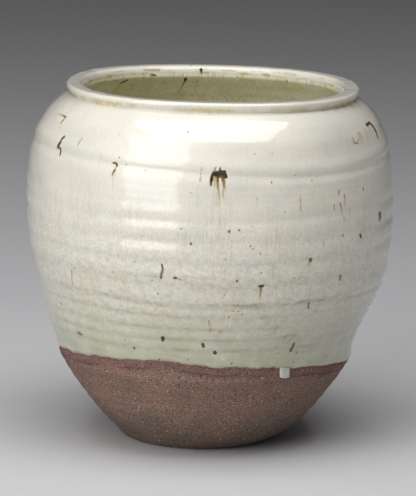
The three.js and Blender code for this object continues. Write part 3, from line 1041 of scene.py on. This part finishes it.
def lay_iron(look):
    """Lays iron over a glaze: ochre where it is thin, then brown or lower down olive, then near black. Gives
    its depth from 0 to 1, from the fields on the mesh, with frayed edges."""
    fray = look.maths("MULTIPLY_ADD", look.cloud(1.3, detail=3, seed=4), 1, -0.5)
    off = look.maths("ADD", look.attribute("iron_off"), fray)
    depth = look.times(look.eased(off, 0.55, -0.35), look.attribute("iron_depth"))
    look.lay(OCHRE, depth, 0, 0.4, 0, 0.85)
    brown = look.blend(look.eased(look.height, *OLIVE_HEIGHTS), linear(BROWN), linear(OLIVE))
    look.colour = look.blend(look.eased(depth, 0.28, 0.62), look.colour, brown)
    look.lay(BLACK_BROWN, depth, 0.58, 0.9)
    return depth


# Streaks down the white glaze: width, length and strength. Flecks in it: spacing, radius, share and strength.
WHITE_STREAKS = ((1.3, 22, 0.4), (0.8, 14, 0.25), (3.0, 30, 0.25))
WHITE_FLECKS = ((6, 0.7, 0.4, 0.75), (14, 1.2, 0.4, 0.8))


def white_glaze():
    """Creamy white above, thinner and greyer lower down, with streaks, mottle and flecks. It is olive under
    the rings, yellow and brown under the lip, partly painted shade in the crease there, and brown along its
    edges, where along the lower one it is partly a painted shadow line."""
    look = Look("white glaze", (241, 236, 222))
    height = look.height
    clouds = look.cloud(34, detail=4, stretch=(1, 1, 0.6))
    low = look.eased(look.maths("MULTIPLY_ADD", clouds, 50, height), 186, 84)
    look.lay((204, 203, 183), low)
    look.lay((224, 223, 214), clouds, 0.38, 0.7, 0, 0.5)
    olive = look.times(look.eased(height, 118, 62), look.eased(look.cloud(12, detail=3), 0.25, 0.65))
    look.lay((172, 173, 140), look.times(olive, 0.75))

    patches = look.eased(look.cloud(22, stretch=(1, 1, 2.5), seed=3), 0.36, 0.62)
    patches = look.times(patches, look.eased(height, 222, 160, 0.1))
    for width, length, strength in WHITE_STREAKS:
        streaks = look.eased(look.cloud(width, stretch=(1, 1, length / width), seed=width), 0.5, 0.74)
        look.lay((192, 180, 130), look.times(streaks, look.times(patches, strength)))
    mottle = look.eased(look.cloud(3.2, detail=5, stretch=(1.4, 1.4, 1), seed=17), 0.42, 0.66, 0, 0.45)
    look.lay((184, 180, 156), look.times(mottle, look.eased(height, 190, 110, 0.1)))
    fine_grain = look.eased(look.cloud(1.1, detail=3, stretch=(1, 1, 1.6), seed=7), 0.38, 0.64, 0, 0.3)
    look.lay((176, 175, 154), look.times(fine_grain, look.eased(height, 215, 130, 0.35)))
    for spacing, radius, share, strength in WHITE_FLECKS:
        fleck = look.specks(spacing, radius=radius, share=share, seed=spacing)
        look.lay((74, 76, 52), look.times(fleck, strength))

    breaks = look.eased(look.cloud(2.2, detail=4, stretch=(2.5, 2.5, 1), seed=12), 0.34, 0.6, 0.35)
    ring = look.times(look.attribute("ring"), breaks)
    look.lay((154, 144, 102), ring, 0, 0.9, 0, 0.8)
    # Yellow of thin glaze under the lip, partly painted shade in the crease there
    under = look.attribute("thin_and_shaded_under_lip")
    yellow = look.times(under, look.eased(look.cloud(3, detail=4, seed=14), 0.3, 0.6, 0.35))
    look.lay((214, 196, 134), yellow, 0.05, 0.7, 0, 0.9)
    threads = look.eased(look.cloud(0.9, detail=3, stretch=(1, 1, 5), seed=13), 0.52, 0.7, 0, 0.8)
    look.lay((128, 98, 62), look.times(under, threads))
    # Ochre and brown where the glaze is thin at its edges; along the lower edge the dark brown is partly a
    # painted shadow line
    gaps = look.eased(look.cloud(4, detail=4, seed=9), 0.36, 0.62, 0.25)
    thin_and_edge_shade = look.times(look.attribute("thin"), gaps)
    look.lay((178, 162, 110), thin_and_edge_shade, 0.05, 0.6, 0, 0.8)
    look.lay((104, 84, 56), thin_and_edge_shade, 0.42, 0.95, 0, 0.9)
    iron = lay_iron(look)

    soft = look.times(look.cloud(4.5, seed=1), 0.08)
    peel = look.maths("MULTIPLY_ADD", look.cloud(1.2, detail=1, seed=2), 0.014, soft)
    look.bump(look.maths("MULTIPLY_ADD", iron, -0.04, peel))
    look.shader.inputs["Coat Weight"].default_value = 1
    look.shader.inputs["Coat Roughness"].default_value = 0.06
    return look.done(look.eased(look.cloud(9, detail=3, seed=6), 0.3, 0.7, 0.3, 0.42))


def bare_clay():
    """Gritty reddish brown, with painted shade darkening it towards the foot and in the groove under the glaze
    line, and with a redder band under that line and specks.
    """
    look = Look("bare clay", (154, 126, 111))
    look.lay((132, 114, 102), look.cloud(24, detail=4), 0.32, 0.68)
    # Painted shade: darker towards the foot
    look.lay((104, 94, 84), look.height, 40, 0, 0, 0.5)
    reddish = look.eased(look.cloud(5, detail=4, seed=16), 0.42, 0.66, 0, 0.7)
    look.lay((154, 112, 98), look.times(reddish, look.eased(look.height, 22, 56)))
    look.lay((142, 104, 100), look.times(look.attribute("band"), 0.6))
    grit = look.cloud(1.1, detail=3, stretch=(1, 1, 0.8), seed=2)
    look.lay((82, 66, 60), grit, 0.42, 0.7, 0, 0.85)
    look.lay((190, 156, 138), grit, 0.44, 0.24, 0, 0.5)
    scrape = look.cloud(1.1, stretch=(9, 9, 0.7), seed=7)
    look.lay((80, 64, 54), scrape, 0.55, 0.8, 0, 0.3)
    # Painted shade in the turned groove under the glaze line
    look.lay((70, 54, 52), look.times(look.attribute("groove"), 0.55))
    dark = look.specks(2.4, radius=0.75, share=0.8, seed=1)
    look.lay((48, 42, 42), look.times(dark, 0.8))
    pale = look.specks(2.8, radius=0.7, share=0.7, seed=6)
    look.lay((206, 184, 176), look.times(pale, 0.8))

    rise = look.times(grit, 0.4)
    lumps = look.cloud(2.6, detail=3, seed=8)
    for part, size in ((lumps, 0.35), (pale, 0.15), (dark, -0.2), (scrape, 0.25)):
        rise = look.maths("MULTIPLY_ADD", part, size, rise)
    look.bump(rise)
    look.shader.inputs["Specular IOR Level"].default_value = 0.3
    return look.done(look.eased(grit, 0.3, 0.7, 0.78, 0.95))


def liner_glaze():
    """Grey green, with streaks and yellow pools, and paler with a broken brown line along the lip."""
    look = Look("liner glaze", (232, 230, 211))
    clouds = look.cloud(30, detail=3)
    look.lay((222, 219, 188), clouds, 0.35, 0.7)
    streaks = look.cloud(1.6, detail=3, stretch=(1, 1, 16), seed=5)
    look.lay((184, 172, 116), streaks, 0.5, 0.7, 0, 0.7)
    look.lay((224, 228, 218), streaks, 0.46, 0.3, 0, 0.6)
    look.lay((214, 206, 148), look.cloud(13, detail=4, seed=15), 0.48, 0.64, 0, 0.6)
    look.lay((92, 78, 48), look.times(look.specks(8, radius=0.8, share=0.35, seed=2), 0.7))
    edge = look.maths("MULTIPLY_ADD", look.cloud(5, detail=4, seed=3), 3, look.height)
    look.lay((240, 237, 226), edge, 245.2, 246)
    line = look.times(look.eased(edge, 244.2, 245.4), look.eased(edge, 247.4, 246))
    patches = look.eased(look.cloud(9, detail=3, seed=9), 0.48, 0.62)
    look.lay((206, 186, 130), look.times(line, patches))
    lay_iron(look)
    soft = look.times(look.cloud(5, seed=1), 0.12)
    look.bump(look.maths("MULTIPLY_ADD", streaks, 0.05, soft))
    return look.done(look.eased(clouds, 0.3, 0.7, 0.3, 0.45))


def run_glaze():
    """Thick greyish white with a few small flecks."""
    look = Look("run glaze", (208, 210, 200))
    clouds = look.cloud(3, detail=3)
    look.lay((190, 193, 179), clouds, 0.3, 0.7)
    look.lay((140, 120, 84), look.times(look.specks(2.5, radius=0.3, share=0.3, seed=2), 0.5))
    look.bump(look.times(look.cloud(1.5), 0.05))
    return look.done(look.eased(clouds, 0.3, 0.7, 0.25, 0.4))


def dress(piece, node, material):
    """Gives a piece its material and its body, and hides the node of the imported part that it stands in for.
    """
    piece.data.materials.append(material)
    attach(piece, "root")
    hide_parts(node)


dress(clay(), "clay_body", bare_clay())
dress(coat(), "outer_glaze", white_glaze())
dress(liner(), "inner_glaze", liner_glaze())
dress(run(), "glaze_run", run_glaze())


# The camera stands where the photograph's did, worked out from the ellipses of the mouth and the foot
CAMERA_DISTANCE = 2.4
CAMERA_ELEVATION = math.radians(10.47)
CAMERA_ROLL = math.radians(1.38)
CAMERA_AIM_HEIGHT = 0.1326
LENS = 248.9
SENSOR_WIDTH = 36

LAMP_AIM_HEIGHT = 0.13
FLOOR_HALF = 14
FLOOR_COLOUR = (210, 210, 212)
FLOOR_ROUGHNESS = 0.9
WORLD_COLOUR = (0.9, 0.9, 0.92, 1)
WORLD_STRENGTH = 0.08


def around_jar(azimuth, elevation, distance, aim_height):
    """The place at an azimuth, elevation (in radians) and distance from a height on the jar's axis."""
    reach = distance * math.cos(elevation)
    height = aim_height + distance * math.sin(elevation)
    return (reach * math.sin(azimuth), -reach * math.cos(azimuth), height)


def camera():
    """The photograph's camera: straight in front, a little above, and slightly rolled."""
    data = bpy.data.cameras.new("camera")
    data.lens = LENS
    data.sensor_width = SENSOR_WIDTH
    seen = add_object("camera", data)
    place = Matrix.Translation(around_jar(0, CAMERA_ELEVATION, CAMERA_DISTANCE, CAMERA_AIM_HEIGHT))
    tilt = Matrix.Rotation(math.pi / 2 - CAMERA_ELEVATION, 4, "X")
    seen.matrix_world = place @ tilt @ Matrix.Rotation(CAMERA_ROLL, 4, "Z")
    bpy.context.scene.camera = seen


def area_light(name, azimuth, elevation, distance, width, height, power):
    """A softbox that faces the jar, at an azimuth and an elevation in degrees and a distance in metres."""
    data = bpy.data.lights.new(name, "AREA")
    data.shape = "RECTANGLE"
    data.size = width
    data.size_y = height
    data.energy = power
    lamp = add_object(name, data)
    turn = math.radians(azimuth)
    lift = math.radians(elevation)
    lamp.location = around_jar(turn, lift, distance, LAMP_AIM_HEIGHT)
    lamp.rotation_euler = (math.pi / 2 - lift, 0, turn)


def floor():
    """A plain pale floor, wide enough to fill the picture."""
    signs = np.array([(-1, -1, 0), (1, -1, 0), (1, 1, 0), (-1, 1, 0)], float)
    plane = mesh_piece("floor", FLOOR_HALF * signs, np.array([[0, 1, 2, 3]]))
    plane.data.materials.append(Look("floor", FLOOR_COLOUR).done(FLOOR_ROUGHNESS))


def world():
    """A faint even light from all round."""
    made = bpy.data.worlds.new("world")
    made.use_nodes = True
    background = made.node_tree.nodes["Background"]
    background.inputs["Color"].default_value = WORLD_COLOUR
    background.inputs["Strength"].default_value = WORLD_STRENGTH
    bpy.context.scene.world = made


camera()
floor()
world()
area_light("key", azimuth=-36, elevation=22, distance=1.7, width=1.1, height=1.7, power=16)
area_light("top", azimuth=4, elevation=74, distance=1.7, width=1.8, height=1.2, power=24)
area_light("fill", azimuth=-48, elevation=14, distance=3, width=3.2, height=1.6, power=4.0)
bpy.context.scene.view_settings.view_transform = "Standard"
